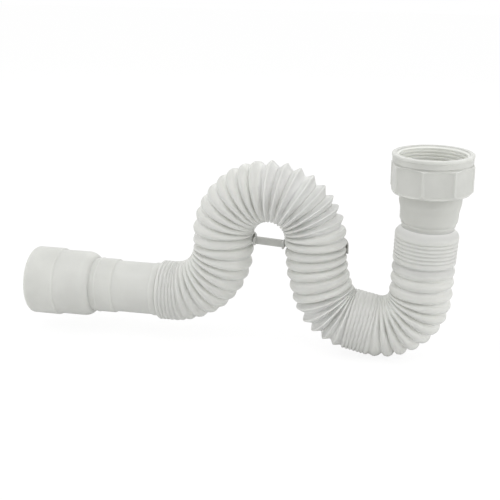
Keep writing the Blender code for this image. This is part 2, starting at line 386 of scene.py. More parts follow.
def turn_outline(obj, sides, angle=math.tau):
    """Spins an outline, or a filled section, about the Z axis into a solid."""
    edit(obj)
    bpy.ops.mesh.select_all(action="SELECT")
    if angle < math.tau:
        bpy.ops.mesh.edge_face_add()
    bpy.ops.mesh.spin(steps=sides, angle=angle, center=(0.0, 0.0, 0.0), axis=(0.0, 0.0, 1.0))
    close_solid()


def settle(obj):
    activate(obj)
    bpy.ops.object.transform_apply(location=True, rotation=True, scale=True)


def smooth(obj, degrees=35.0):
    activate(obj)
    bpy.ops.object.shade_smooth_by_angle(angle=math.radians(degrees))


def apply_all(obj):
    activate(obj)
    for modifier in list(obj.modifiers):
        bpy.ops.object.modifier_apply(modifier=modifier.name)


def cut(obj, tool, operation):
    activate(obj)
    modifier = obj.modifiers.new("cut", "BOOLEAN")
    modifier.operation = operation
    modifier.solver = "EXACT"
    modifier.object = tool
    bpy.ops.object.modifier_apply(modifier=modifier.name)
    bpy.data.objects.remove(tool)


def place_piece(obj, body, node, material):
    obj.data.materials.clear()
    obj.data.materials.append(material)
    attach(obj, body)
    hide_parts(node)


def route_at(distance):
    """Position (x, z) and heading of the bend's centre line at a distance from the seal face."""
    x = 0.0
    z = 0.0
    heading = 0.0
    left = distance
    for length, turn_degrees in ROUTE:
        part = min(left, length)
        bend = math.radians(turn_degrees) * part / length
        if abs(bend) < 1e-9:
            x -= math.sin(heading) * part
            z -= math.cos(heading) * part
        else:
            radius = part / bend
            x += radius * (math.cos(heading + bend) - math.cos(heading))
            z -= radius * (math.sin(heading + bend) - math.sin(heading))
            heading += bend
        left -= part
        if left <= 0.0:
            break
    return x, z, heading


def hose_end():
    return FIRST_VALLEY + sum(count * pitch for count, pitch in FOLD_ZONES)


# Plastics


def set_inputs(node, **values):
    """Sets a node's inputs by name, with _ for each space in the name."""
    for name, value in values.items():
        node.inputs[name.replace("_", " ")].default_value = value


class Plastic:
    """Builds one plastic's nodes step by step."""

    def __init__(self, name, colour, roughness):
        self.material = bpy.data.materials.new(name)
        self.material.use_nodes = True
        self.nodes = self.material.node_tree.nodes
        self.links = self.material.node_tree.links
        self.shader = self.nodes["Principled BSDF"]
        self.colour = colour
        set_inputs(self.shader, Base_Color=(*colour, 1.0), Roughness=roughness, IOR=1.49)
        self.material.diffuse_color = (*colour, 1.0)

    def node(self, kind, **values):
        node = self.nodes.new(kind)
        for name, value in values.items():
            setattr(node, name, value)
        return node

    def place(self):
        return self.node("ShaderNodeTexCoord").outputs["Object"]

    def noise(self, place, scale, detail=3.0, roughness=0.5):
        noise = self.node("ShaderNodeTexNoise")
        set_inputs(noise, Scale=scale, Detail=detail, Roughness=roughness)
        self.links.new(place, noise.inputs["Vector"])
        return noise.outputs["Fac"]

    def stretch(self, place, scale):
        mapping = self.node("ShaderNodeMapping")
        set_inputs(mapping, Scale=scale)
        self.links.new(place, mapping.inputs["Vector"])
        return mapping.outputs["Vector"]

    def remap(self, value, low, high, to_low, to_high):
        remap = self.node("ShaderNodeMapRange")
        set_inputs(remap, From_Min=low, From_Max=high, To_Min=to_low, To_Max=to_high)
        self.links.new(value, remap.inputs["Value"])
        return remap.outputs["Result"]

    def mix(self, factor, first, second, blend="MIX"):
        mix = self.node("ShaderNodeMix", data_type="RGBA", blend_type=blend)
        self.links.new(factor, mix.inputs["Factor"])
        for socket, value in ((mix.inputs["A"], first), (mix.inputs["B"], second)):
            if isinstance(value, tuple):
                socket.default_value = (*value, 1.0)
            else:
                self.links.new(value, socket)
        return mix.outputs["Result"]

    def math(self, operation, first, second):
        node = self.node("ShaderNodeMath", operation=operation)
        for socket, value in zip(node.inputs, (first, second)):
            if isinstance(value, (int, float)):
                socket.default_value = value
            else:
                self.links.new(value, socket)
        return node.outputs["Value"]

    def bump(self, height, strength, distance, before=None):
        bump = self.node("ShaderNodeBump")
        set_inputs(bump, Strength=strength, Distance=distance)
        self.links.new(height, bump.inputs["Height"])
        if before is not None:
            self.links.new(before, bump.inputs["Normal"])
        return bump.outputs["Normal"]

    def shade(self, amount):
        return tuple(channel * amount for channel in self.colour)

    def cloud(self, place, dark, light):
        """Body colour that drifts between two shades."""
        clouds = self.remap(self.noise(place, 38.0, 4.0), 0.35, 0.65, 0.0, 1.0)
        return self.mix(clouds, self.shade(dark), self.shade(light))

    def uneven_sheen(self, place, low, high):
        """Roughness that drifts between two values."""
        patches = self.noise(place, 120.0, 4.0)
        self.links.new(self.remap(patches, 0.3, 0.7, low, high), self.shader.inputs["Roughness"])

    def scatter(self, weight, reach):
        """Light that enters the plastic and leaves it near by."""
        set_inputs(
            self.shader,
            Subsurface_Weight=weight,
            Subsurface_Radius=(1.0, 1.0, 0.97),
            Subsurface_Scale=reach,
        )


def moulded_plastic(name, colour, roughness, grain, bore=0.0):
    """Satin polypropylene: cloudy colour, uneven sheen and a fine grain. Inside the bore radius it is painted
    paler: painted light in the nut's mouth.
    """
    plastic = Plastic(name, colour, roughness)
    place = plastic.place()
    body = plastic.cloud(place, 0.955, 1.035)
    specks = plastic.noise(place, 900.0, 2.0)
    body = plastic.mix(plastic.remap(specks, 0.62, 0.78, 0.0, 0.35), body, plastic.shade(0.86))
    # Painted light: inside the bore radius the nut is painted paler, standing in for light reaching into its
    # mouth.
    if bore:
        split = plastic.node("ShaderNodeSeparateXYZ")
        plastic.links.new(place, split.inputs["Vector"])
        across = plastic.math("POWER", split.outputs["X"], 2.0)
        along = plastic.math("POWER", split.outputs["Y"], 2.0)
        radius = plastic.math("SQRT", plastic.math("ADD", across, along), 0.0)
        inside = plastic.remap(radius, bore, bore + 0.5 * MM, 1.0, 0.0)
        body = plastic.mix(inside, body, plastic.shade(1.42))
    plastic.links.new(body, plastic.shader.inputs["Base Color"])
    plastic.uneven_sheen(place, roughness - 0.06, roughness + 0.08)
    waves = plastic.bump(plastic.noise(place, 70.0, 2.0), 0.3, 0.0004)
    fine = plastic.bump(plastic.noise(place, 2600.0, 3.0), grain, 0.00006, waves)
    plastic.links.new(fine, plastic.shader.inputs["Normal"])
    plastic.scatter(0.5, 5.0 * MM)
    return plastic


def blown_plastic(name, colour, roughness):
    """The hose's satin polypropylene: paler where worn, painted light in the fold valleys, painted shade on
    the plain parts off the folds, with two mould lines.
    """
    plastic = Plastic(name, colour, roughness)
    place = plastic.place()
    straight = plastic.node("ShaderNodeAttribute", attribute_name="straight_place").outputs["Vector"]
    depth = plastic.node("ShaderNodeAttribute", attribute_name="fold_height").outputs["Fac"]
    body = plastic.cloud(place, 0.96, 1.03)
    crests = plastic.remap(depth, 0.72, 1.0, 0.0, 1.0)
    worn = plastic.remap(plastic.noise(place, 210.0, 3.0), 0.3, 0.7, 0.35, 1.0)
    body = plastic.mix(plastic.math("MULTIPLY", crests, worn), body, plastic.shade(1.03))
    # Painted light: the fold valleys are painted paler, against the shade that gathers in them.
    painted_valley_light = plastic.remap(depth, 0.1, 0.85, 1.0, 0.0)
    body = plastic.mix(painted_valley_light, body, plastic.shade(1.5))
    # Painted shade: the plain parts off the folds are painted darker, for the shade under the nut on the
    # neck.
    solid = plastic.remap(depth, 1.2, 1.8, 0.0, 1.0)
    body = plastic.mix(solid, body, plastic.shade(0.86))
    streaks = plastic.noise(plastic.stretch(straight, (260.0, 260.0, 14.0)), 1.0, 3.0)
    body = plastic.mix(plastic.remap(streaks, 0.45, 0.75, 0.0, 0.5), body, plastic.shade(0.93))
    plastic.links.new(body, plastic.shader.inputs["Base Color"])
    plastic.uneven_sheen(place, roughness - 0.07, roughness + 0.09)
    split = plastic.node("ShaderNodeSeparateXYZ")
    plastic.links.new(straight, split.inputs["Vector"])
    side = plastic.math("ABSOLUTE", split.outputs["Y"], 0.0)
    seam = plastic.remap(side, 0.0, 0.0005, 1.0, 0.0)
    seam_bump = plastic.bump(seam, 0.6, 0.0002)
    waves = plastic.bump(plastic.noise(place, 90.0, 2.0), 0.35, 0.0004, seam_bump)
    fine = plastic.bump(plastic.noise(place, 2400.0, 3.0), 0.12, 0.00006, waves)
    plastic.links.new(fine, plastic.shader.inputs["Normal"])
    plastic.scatter(0.75, 6.0 * MM)
    return plastic


def washer_rubber(name, colour):
    """Black moulded rubber with a dusty, uneven surface."""
    rubber = Plastic(name, colour, 0.7)
    place = rubber.place()
    dust = rubber.noise(place, 300.0, 4.0)
    body = rubber.mix(rubber.remap(dust, 0.45, 0.75, 0.0, 0.6), rubber.shade(1.0), (0.055, 0.055, 0.054))
    rubber.links.new(body, rubber.shader.inputs["Base Color"])
    rubber.links.new(rubber.remap(dust, 0.3, 0.7, 0.6, 0.85), rubber.shader.inputs["Roughness"])
    grain = rubber.bump(rubber.noise(place, 1800.0, 3.0), 0.3, 0.0001)
    rubber.links.new(grain, rubber.shader.inputs["Normal"])
    return rubber


# Bellows hose


def is_sharp(distance):
    return any(start < distance < end for start, end in SHARP_STRETCHES)


def fold_depths(sizes):
    """Depth of every fold's far valley. Open folds beside shut ones are still half closed."""
    pitches = [pitch for count, pitch in FOLD_ZONES for _ in range(count)]
    depths = []
    for index, pitch in enumerate(pitches):
        if pitch < SHUT_PITCH:
            last_shut = index + 1 < len(pitches) and pitches[index + 1] >= SHUT_PITCH
            depths.append(sizes.rib_end if last_shut else sizes.rib_depth)
            continue
        near = [other < SHUT_PITCH for other in pitches[index + 1:index + 3]] + [False, False]
        before = [other < SHUT_PITCH for other in reversed(pitches[max(0, index - 1):index])] + [False]
        depth = sizes.crest - sizes.valley
        if near[0]:
            depth *= 0.35
        elif near[1] or before[0]:
            depth *= 0.75
        depths.append(depth)
    return pitches, depths


def outer_folds(sizes, chance):
    """Every fold from the shoulder to the last valley: round, sharp or, where pushed shut, a low flat rib."""
    distance = FIRST_VALLEY
    points = [
        (sizes.crest - 0.7 * MM, FIRST_CREST - 1.0 * MM),
        (sizes.crest, FIRST_CREST + 0.6 * MM),
        (sizes.crest - 0.1 * MM, distance - 0.7 * MM),
        (sizes.crest - sizes.rib_depth, distance),
    ]
    for pitch, depth in zip(*fold_depths(sizes)):
        reach = chance.uniform(-0.2, 0.05) * MM
        shift = chance.uniform(-0.05, 0.05)
        if pitch < SHUT_PITCH:
            rib = sizes.crest - 0.1 * MM + 0.5 * reach
            points.append((rib, distance + 0.7 * MM))
            points.append((rib, distance + pitch - 0.7 * MM))
            distance += pitch
            points.append((rib - depth, distance))
            continue
        crest = distance + pitch * (sizes.crest_place + shift)
        if is_sharp(crest):
            points.append((sizes.crest + 0.5 * sizes.crest_sharp + reach, crest))
            depth += sizes.sharp_extra
        else:
            low = distance + pitch * (0.25 + shift)
            high = distance + pitch * (0.83 + shift)
            points.append((sizes.crest - 0.75 * MM + reach, low))
            points.append((sizes.crest + 0.15 * MM + reach, (low + high) / 2))
            points.append((sizes.crest - 0.75 * MM + reach, high))
        distance += pitch
        points.append((sizes.crest - depth + reach, distance))
    return points


def inner_folds(sizes):
    """The same folds on the inside of the wall, as a plain zigzag."""
    distance = FIRST_VALLEY
    points = [(sizes.crest - sizes.wall, FIRST_CREST), (sizes.crest - SHUT_DEPTH - sizes.wall, distance)]
    for count, pitch in FOLD_ZONES:
        depth = SHUT_DEPTH if pitch < SHUT_PITCH else FOLD_DEPTH
        for _ in range(count):
            points.append((sizes.crest - sizes.wall, distance + pitch * sizes.crest_place))
            distance += pitch
            points.append((sizes.crest - depth - sizes.wall, distance))
    return points


def near_lining(radius, distance, sizes):
    """True for a corner of the wall's inside."""
    return any(abs(radius - r) < 0.02 * MM and abs(distance - z) < 0.02 * MM for r, z in inner_folds(sizes))


def hose_points(sizes):
    """Closed (radius, distance) outline of the hose wall along its straightened centre line."""
    end = hose_end()
    outer = [
        (FLANGE_RADIUS, FLANGE_TOP),
        (FLANGE_RADIUS, FLANGE_BOTTOM),
        (sizes.neck, FLANGE_BOTTOM),
        (sizes.neck, BAND_TOP),
        (sizes.band, BAND_TOP + 0.4 * MM),
        (sizes.band, BAND_BOTTOM - 3.0 * MM),
        (sizes.neck + 0.3 * MM, BAND_BOTTOM + 1.6 * MM),
        (sizes.neck, NECK_END),
        (18.2 * MM, GROOVE_TOP + 0.4 * MM),
        (18.6 * MM, GROOVE_TOP + 1.1 * MM),
        (18.3 * MM, GROOVE_TOP + 1.8 * MM),
        (sizes.crest - FOLD_DEPTH, GROOVE_BOTTOM),
    ]
    outer += outer_folds(sizes, random.Random(11))
    outer += [(SPIGOT_RADIUS, end), (SPIGOT_RADIUS, end + SPIGOT_LENGTH)]
    inner = [
        (INLET_BORE, FLANGE_TOP),
        (INLET_BORE, NECK_END),
        (sizes.crest - FOLD_DEPTH - sizes.wall, GROOVE_BOTTOM),
    ]
    inner += inner_folds(sizes)[:-1]
    spigot_bore = SPIGOT_RADIUS - sizes.wall
    inner += [(spigot_bore, end - 0.8 * MM), (spigot_bore, end + SPIGOT_LENGTH)]
    return list(reversed(outer)) + inner


def draw_route():
    """The bend's centre line as a guide curve, drawn as edges and then converted."""
    length = sum(stretch for stretch, _ in ROUTE)
    steps = math.ceil(length / ROUTE_STEP)
    guide = draw_line("route", [route_at(length * index / steps)[:2] for index in range(steps + 1)])
    activate(guide)
    bpy.ops.object.convert(target="CURVE")
    guide = bpy.context.object
    guide.data.dimensions = "3D"
    guide.data.twist_mode = "MINIMUM"
    return guide


def lean_folds(obj, amount):
    """Leans the folds a little to and fro, as they stay after bending by hand."""
    start = FIRST_CREST
    end = hose_end()
    for vertex in obj.data.vertices:
        distance = vertex.co.z
        inside = min(1.0, max(0.0, (distance - start) / 0.02), max(0.0, (end - distance) / 0.02))
        sway = math.sin(distance * 165.0) * 0.7 + math.sin(distance * 74.0 + 1.3)
        nod = math.sin(distance * 131.0 + 0.6) * 0.6 + math.sin(distance * 57.0 + 2.1)
        vertex.co.z += inside * amount * (vertex.co.x * nod + vertex.co.y * sway) * 0.6


def curvature_at(distance):
    """How tightly the route bends at a distance: per metre, and positive where its centre lies at -X."""
    left = distance
    for length, turn_degrees in ROUTE:
        if left <= length:
            return math.radians(turn_degrees) / length
        left -= length
    return 0.0


def close_inner_folds(obj, sizes):
    """On the inside of a bend the folds touch, so only their rounded tips are left to see."""
    rim = sizes.crest - 0.1 * MM
    lining = inner_folds(sizes)
    lining_places = [distance for _, distance in lining]
    lining_radii = [radius for radius, _ in lining]
    for vertex in obj.data.vertices:
        distance = vertex.co.z
        if not FIRST_VALLEY < distance < hose_end() - 0.5 * MM:
            continue
        radius = math.hypot(vertex.co.x, vertex.co.y)
        if radius < numpy.interp(distance, lining_places, lining_radii) + 0.3 * MM:
            continue
        bend = sum(curvature_at(distance + offset * MM) for offset in (-12, -6, 0, 6, 12)) / 5
        squeeze = vertex.co.x * bend
        keep = 1.0 - 0.75 * min(1.0, max(0.0, squeeze - 0.15) / 0.35)
        wanted = rim - (rim - radius) * keep
        vertex.co.x *= wanted / radius
        vertex.co.y *= wanted / radius


def note_straight_place(obj, valley, crest):
    """Keeps each point's place on the straight hose, and its height in the fold, for the plastic to read."""
    mesh = obj.data
    place = mesh.attributes.new("straight_place", "FLOAT_VECTOR", "POINT")
    height = mesh.attributes.new("fold_height", "FLOAT", "POINT")
    places = []
    heights = []
    for vertex in mesh.vertices:
        places.extend(vertex.co)
        radius = math.hypot(vertex.co.x, vertex.co.y)
        folded = FIRST_CREST - 4 * MM < vertex.co.z < hose_end()
        # Points off the folds get 2.0, which the hose plastic reads as the place for its painted shade.
        heights.append(min(1.0, max(0.0, (radius - valley) / (crest - valley))) if folded else 2.0)
    place.data.foreach_set("vector", places)
    height.data.foreach_set("value", heights)


def round_hose(hose, sizes):
    """Rounds the outline's corners: folds first, then flange, band, neck, groove and shoulder."""
    lining = sizes.crest - sizes.wall
    widest = FLANGE_RADIUS + 1.0 * MM

    def in_folds(z):
        return FIRST_VALLEY + 1.0 * MM < z < hose_end() - 0.2 * MM

    def on_crest(r, z):
        return in_folds(z) and lining + 0.1 * MM < r

    def in_valley(r, z):
        return in_folds(z) and lining - 3.0 * MM < r < lining and not near_lining(r, z, sizes)

    round_corners(hose, sizes.crest_round, 2, lambda r, z: on_crest(r, z) and not is_sharp(z))
    round_corners(hose, sizes.crest_sharp, 2, lambda r, z: on_crest(r, z) and is_sharp(z))
    round_corners(hose, sizes.valley_round, 1, in_valley)
    for amount, segments, inside, top, bottom in (
        (0.5 * MM, 3, 22.5 * MM, 0.0, FLANGE_BOTTOM + 0.1 * MM),
        (0.3 * MM, 2, sizes.neck, BAND_TOP, BAND_TOP + 1.0 * MM),
        (1.5 * MM, 4, sizes.neck, BAND_TOP + 2.0 * MM, GROOVE_TOP - 3.0 * MM),
        (0.8 * MM, 4, 18.5 * MM, NECK_END - 0.1 * MM, NECK_END + 0.1 * MM),
        (0.25 * MM, 2, 18.1 * MM, GROOVE_TOP, GROOVE_TOP + 2.0 * MM),
        (1.0 * MM, 4, 17.0 * MM, GROOVE_BOTTOM - 0.1 * MM, GROOVE_BOTTOM + 0.1 * MM),
        (0.9 * MM, 4, 20.8 * MM, GROOVE_BOTTOM + 1.0 * MM, FIRST_VALLEY - 2.0 * MM),
    ):
        round_between(hose, amount, segments, (inside, widest), (top, bottom))


class TRAP_OT_hose(bpy.types.Operator):
    """Model the bellows hose: drawn as an outline, rounded, spun and bent along its route"""

    bl_idname = "trap.hose"
    bl_label = "Bellows hose"

    def execute(self, context):
        sizes = context.scene.trap_hose
        hose = draw_outline("bellows_hose_moulding", hose_points(sizes))
        round_hose(hose, sizes)
        turn_outline(hose, sizes.sides)
        note_straight_place(hose, sizes.crest - FOLD_DEPTH, sizes.crest)
        close_inner_folds(hose, sizes)
        lean_folds(hose, sizes.lean)
        guide = draw_route()
        activate(hose)
        follow = hose.modifiers.new("follow route", "CURVE")
        follow.object = guide
        follow.deform_axis = "POS_Z"
        apply_all(hose)
        bpy.data.objects.remove(guide)
        smooth(hose, 60.0)
        material = blown_plastic("hose_satin_plastic", tuple(sizes.colour), 0.44).material
        place_piece(hose, "trap", "bellows_hose", material)
        return {"FINISHED"}


# Outlet sleeve


def sleeve_points(sizes):
    """Closed (radius, distance) outline of the outlet sleeve from its hose end."""
    outer = [
        (18.9 * MM, 0.0),
        (19.5 * MM, 0.6 * MM),
        (19.5 * MM, 4.5 * MM),
        (18.9 * MM, 5.1 * MM),
        (18.9 * MM, 33.3 * MM),
        (19.9 * MM, 33.9 * MM),
        (19.9 * MM, 45.6 * MM),
        (20.25 * MM, 46.0 * MM),
        (20.25 * MM, 47.0 * MM),
        (19.85 * MM, 47.5 * MM),
        (19.85 * MM, 49.6 * MM),
        (19.4 * MM, 50.1 * MM),
        (19.4 * MM, 50.9 * MM),
        (21.6 * MM, 51.6 * MM),
        (23.9 * MM, 55.8 * MM),
        (23.9 * MM, 77.0 * MM),
        (25.0 * MM, 77.6 * MM),
        (25.0 * MM, 100.0 * MM),
    ]
    inner = [
        (sizes.bore, 0.0),
        (sizes.bore, 49.4 * MM),
        (23.9 * MM - sizes.wall, 56.0 * MM),
        (23.9 * MM - sizes.wall, 97.0 * MM),
        (21.1 * MM, 98.2 * MM),
        (21.1 * MM, 100.0 * MM),
    ]
    return list(reversed(outer)) + inner


class TRAP_OT_sleeve(bpy.types.Operator):
    """Model the stepped outlet sleeve and set it over the hose's plain end"""

    bl_idname = "trap.sleeve"
    bl_label = "Outlet sleeve"

    def execute(self, context):
        sizes = context.scene.trap_sleeve
        sleeve = draw_outline("outlet_sleeve_moulding", sleeve_points(sizes))
        round_between(sleeve, sizes.lip_round, 8, (24.9 * MM, 26.0 * MM), (99.0 * MM, 101.0 * MM))
        round_between(sleeve, 1.9 * MM, 5, (21.5 * MM, 24.0 * MM), (51.2 * MM, 57.0 * MM))
        round_between(sleeve, 0.8 * MM, 3, (23.8 * MM, 26.0 * MM), (76.0 * MM, 78.0 * MM))
        round_between(sleeve, 0.6 * MM, 3, (18.8 * MM, 20.0 * MM), (33.0 * MM, 34.5 * MM))
        round_between(sleeve, 0.3 * MM, 3, (19.3 * MM, 20.4 * MM), (45.0 * MM, 51.0 * MM))
        round_between(sleeve, 0.35 * MM, 3, (18.8 * MM, 19.6 * MM), (-1.0 * MM, 5.5 * MM))
        round_between(sleeve, 0.4 * MM, 3, (20.0 * MM, 21.2 * MM), (99.0 * MM, 101.0 * MM))
        turn_outline(sleeve, sizes.sides)
        x, z, heading = route_at(hose_end() + 0.3 * MM)
        sleeve.location = (x, 0.0, z)
        sleeve.rotation_euler = (0.0, math.pi + heading, 0.0)
        settle(sleeve)
        smooth(sleeve, 40.0)
        material = moulded_plastic("sleeve_satin_plastic", tuple(sizes.colour), 0.40, 0.10).material
        place_piece(sleeve, "trap", "outlet_sleeve", material)
        return {"FINISHED"}


# Coupling nut


def draw_grip(sizes, low, high):
    """Eight-sided grip with shallow panels, rounded edges and turned corners."""
    sides = 8
    border = 2.0 * MM
    sunk = 0.9 * MM
    deselect()
    turn = math.radians(13.0 + 180.0 / sides)
    bpy.ops.mesh.primitive_cylinder_add(
        vertices=sides,
        radius=sizes.corner,
        depth=high - low,
        location=(0.0, 0.0, (low + high) / 2),
        rotation=(0.0, 0.0, turn),
    )
    grip = bpy.context.object
    grip.name = "coupling_nut_moulding"
    settle(grip)
    edit(grip, "FACE")
    pick(grip, "FACE", lambda face: abs(face.normal.z) < 0.5)
    bpy.ops.mesh.inset(thickness=border, depth=0.0, use_individual=True, use_even_offset=True)
    bpy.ops.transform.shrink_fatten(value=-sunk)

    def on_panel(edge):
        heights = [vertex.co.z for vertex in edge.verts]
        return low + 1.5 * MM < min(heights) and max(heights) < high - 1.5 * MM

    def on_corner(edge):
        upright = abs(edge.verts[0].co.z - edge.verts[1].co.z) > (high - low) * 0.9
        return upright and math.hypot(middle(edge).x, middle(edge).y) > sizes.corner - 0.2 * MM

    def on_base(edge):
        return all(abs(vertex.co.z - low) < MERGE for vertex in edge.verts)

    bpy.ops.mesh.select_mode(type="EDGE")
    pick(grip, "EDGE", on_panel)
    bpy.ops.mesh.bevel(affect="EDGES", offset=0.2 * MM, segments=2, profile=0.5)
    pick(grip, "EDGE", on_corner)
    bpy.ops.mesh.bevel(affect="EDGES", offset=sizes.corner_round, segments=6, profile=0.5)
    pick(grip, "EDGE", on_base)
    bpy.ops.mesh.bevel(affect="EDGES", offset=0.9 * MM, segments=4, profile=0.5)
    finish_edit()
    cut(grip, draw_chamfer(low, high), "INTERSECT")
    return grip


def draw_chamfer(low, high):
    """The turned body that the grip is cut down to, so that its corners fall away above and below."""
    over = 1.0 * MM
    widest = 29.2 * MM
    chamfer = draw_outline(
        "nut_chamfer",
        [
            (0.0, high + over),
            (26.65 * MM, high + over),
            (widest, high - 2.4 * MM),
            (widest, low + 3.8 * MM),
            (25.16 * MM, low - over),
            (0.0, low - over),
        ],
    )
    turn_outline(chamfer, 128)
    return chamfer


def draw_collar(sizes, low, high):
    collar = draw_outline(
        "nut_collar",
        [
            (10.0 * MM, high),
            (sizes.collar + 0.3 * MM, high),
            (sizes.collar + 0.3 * MM, high - 1.9 * MM),
            (sizes.collar - 0.1 * MM, high - 2.4 * MM),
            (sizes.collar - 0.1 * MM, low + 1.9 * MM),
            (sizes.collar - 0.6 * MM, low + 1.5 * MM),
            (sizes.collar - 0.6 * MM, low),
            (10.0 * MM, low),
        ],
    )
    round_corners(collar, 0.8 * MM, 4, lambda r, z: r > 20.0 * MM and z > high - 0.1 * MM)
    turn_outline(collar, 128)
    return collar


def draw_bore(low, mouth):
    """The nut's hollow: the lip over the neck, the seat for flange and washer, and the threaded part."""
    over = 2.0 * MM
    lip = 20.0 * MM
    seat = 23.3 * MM
    thread = 22.75 * MM
    bore = draw_outline(
        "nut_bore",
        [
            (seat + 0.9 * MM, mouth + over),
            (seat + 0.9 * MM, mouth - 0.4 * MM),
            (thread, mouth - 1.6 * MM),
            (thread, 1.6 * MM),
            (seat, 1.0 * MM),
            (seat, low + 5.3 * MM),
            (lip, low + 5.3 * MM),
            (lip, low + 0.5 * MM),
            (lip + 0.5 * MM, low),
            (lip + 0.5 * MM, low - over),
            (0.0, low - over),
            (0.0, mouth + over),
        ],
    )
    turn_outline(bore, 128)
    return bore


def draw_thread(sizes, start):
    """A helical groove, drawn as a small wedge and wound by a Screw modifier."""
    deep = 23.25 * MM
    shallow = 22.2 * MM
    half = sizes.pitch * 0.46
    groove = draw_outline(
        "nut_thread",
        [
            (shallow, start - half),
            (deep, start - 0.12 * MM),
            (deep, start + 0.12 * MM),
            (shallow, start + half),
        ],
    )
    edit(groove)
    bpy.ops.mesh.select_all(action="SELECT")
    bpy.ops.mesh.edge_face_add()
    finish_edit()
    screw = groove.modifiers.new("wind", "SCREW")
    screw.axis = "Z"
    screw.angle = math.tau
    screw.screw_offset = sizes.pitch
    screw.iterations = sizes.turns
    screw.steps = 96
    screw.render_steps = 96
    screw.use_merge_vertices = False
    apply_all(groove)
    edit(groove)
    bpy.ops.mesh.select_all(action="SELECT")
    bpy.ops.mesh.remove_doubles(threshold=MERGE)
    bpy.ops.mesh.select_all(action="DESELECT")
    bpy.ops.mesh.select_non_manifold()
    bpy.ops.mesh.fill_holes(sides=8)
    close_solid()
    return groove


class TRAP_OT_nut(bpy.types.Operator):
    """Model the inlet nut: grip, collar, hollow and inner thread"""

    bl_idname = "trap.nut"
    bl_label = "Coupling nut"

    def execute(self, context):
        sizes = context.scene.trap_nut
        low = -NUT_BOTTOM
        step = sizes.mouth - sizes.collar_height
        nut = draw_grip(sizes, low, step)
        cut(nut, draw_collar(sizes, step - 0.7 * MM, sizes.mouth), "UNION")
        cut(nut, draw_bore(low, sizes.mouth), "DIFFERENCE")
        cut(nut, draw_thread(sizes, 1.6 * MM), "DIFFERENCE")
        smooth(nut, 35.0)
        material = moulded_plastic("nut_satin_plastic", tuple(sizes.colour), 0.36, 0.08, 23.4 * MM).material
        place_piece(nut, "nut", "coupling_nut", material)
        return {"FINISHED"}


# Sealing washer


class TRAP_OT_washer(bpy.types.Operator):
    """Model the flat rubber washer inside the nut"""

    bl_idname = "trap.washer"
    bl_label = "Sealing washer"

    def execute(self, context):
        sizes = context.scene.trap_washer
        washer = draw_outline(
            "sealing_washer_ring",
            [
                (sizes.outer, 0.0),
                (sizes.outer, -WASHER_THICK),
                (sizes.bore, -WASHER_THICK),
                (sizes.bore, 0.0),
            ],
        )
        round_corners(washer, 0.35 * MM, 3, lambda r, z: True)
        turn_outline(washer, 128)
        smooth(washer, 50.0)
        material = washer_rubber("washer_black_rubber", tuple(sizes.colour)).material
        place_piece(washer, "trap", "sealing_washer", material)
        return {"FINISHED"}


# Bend clip

SADDLE_WRAP = math.radians(180.0)
SADDLE_SHIFT = math.radians(8.0)    # how far the wrap is turned towards the bar
BAR_BELOW = 0.8 * MM                # under the saddles' top


def draw_saddle(sizes, x, level, bar_side):
    """C-shaped saddle behind one leg: a rounded section, filled and spun through its wrap."""
    inner = CREST_RADIUS + sizes.clearance
    outer = inner + sizes.thick
    half = sizes.height / 2
    saddle = draw_outline(
        "clip_saddle", [(outer, half), (outer, -half), (inner, -half), (inner, half)]
    )
    round_corners(saddle, 0.5 * MM, 3, lambda r, z: True)
    turn_outline(saddle, 60, SADDLE_WRAP)
    total = sum((vertex.co for vertex in saddle.data.vertices), Vector())
    facing = math.radians(90.0) - bar_side * SADDLE_SHIFT
    saddle.rotation_euler = (0.0, 0.0, facing - math.atan2(total.y, total.x))
    settle(saddle)
    taper_saddle(saddle, sizes, bar_side)
    saddle.location = (x, 0.0, level)
    settle(saddle)
    return saddle


def taper_saddle(saddle, sizes, bar_side):
    """Brings the saddle down to the bar's height where it meets the bar, and thins its free end."""
    bar_middle = sizes.height / 2 - BAR_BELOW - sizes.bar_height / 2
    inner = CREST_RADIUS + sizes.clearance
    for vertex in saddle.data.vertices:
        round_leg = math.degrees(math.atan2(bar_side * vertex.co.x, vertex.co.y))
        near_bar = min(1.0, max(0.0, (round_leg - 25.0) / 35.0))
        free_end = min(1.0, max(0.0, (-round_leg - 45.0) / 37.0))
        narrow = 1.0 - (1.0 - sizes.bar_height / sizes.height) * near_bar
        vertex.co.z = vertex.co.z * narrow + bar_middle * near_bar
        vertex.co.z *= 1.0 - 0.6 * free_end ** 2
        radius = math.hypot(vertex.co.x, vertex.co.y)
        thinned = inner + (radius - inner) * (1.0 - 0.6 * free_end ** 2)
        vertex.co.x *= thinned / radius
        vertex.co.y *= thinned / radius


def draw_bar(sizes, left, right, level, slant):
    """Flat bar between the saddles, its front panel slightly sunk."""
    deselect()
    middle_z = level + sizes.height / 2 - BAR_BELOW - sizes.bar_height / 2
    bpy.ops.mesh.primitive_cube_add(size=1.0, location=((left + right) / 2, 1.5 * MM, middle_z))
    bar = bpy.context.object
    bar.name = "clip_bar"
    bar.scale = (right - left, sizes.bar_thick, sizes.bar_height)
    settle(bar)
    edit(bar, "FACE")
    pick(bar, "FACE", lambda face: face.normal.x < -0.5)
    bpy.ops.transform.translate(value=(0.0, 0.0, slant))
    pick(bar, "FACE", lambda face: face.normal.y < -0.5)
    bpy.ops.mesh.inset(thickness=0.8 * MM)
    bpy.ops.transform.translate(value=(0.0, 0.35 * MM, 0.0))
    bpy.ops.mesh.select_mode(type="EDGE")
    pick(bar, "EDGE", lambda edge: abs((edge.verts[0].co - edge.verts[1].co).x) > (right - left) * 0.5)
    bpy.ops.mesh.bevel(affect="EDGES", offset=0.25 * MM, segments=2, profile=0.5)
    finish_edit()
    return bar


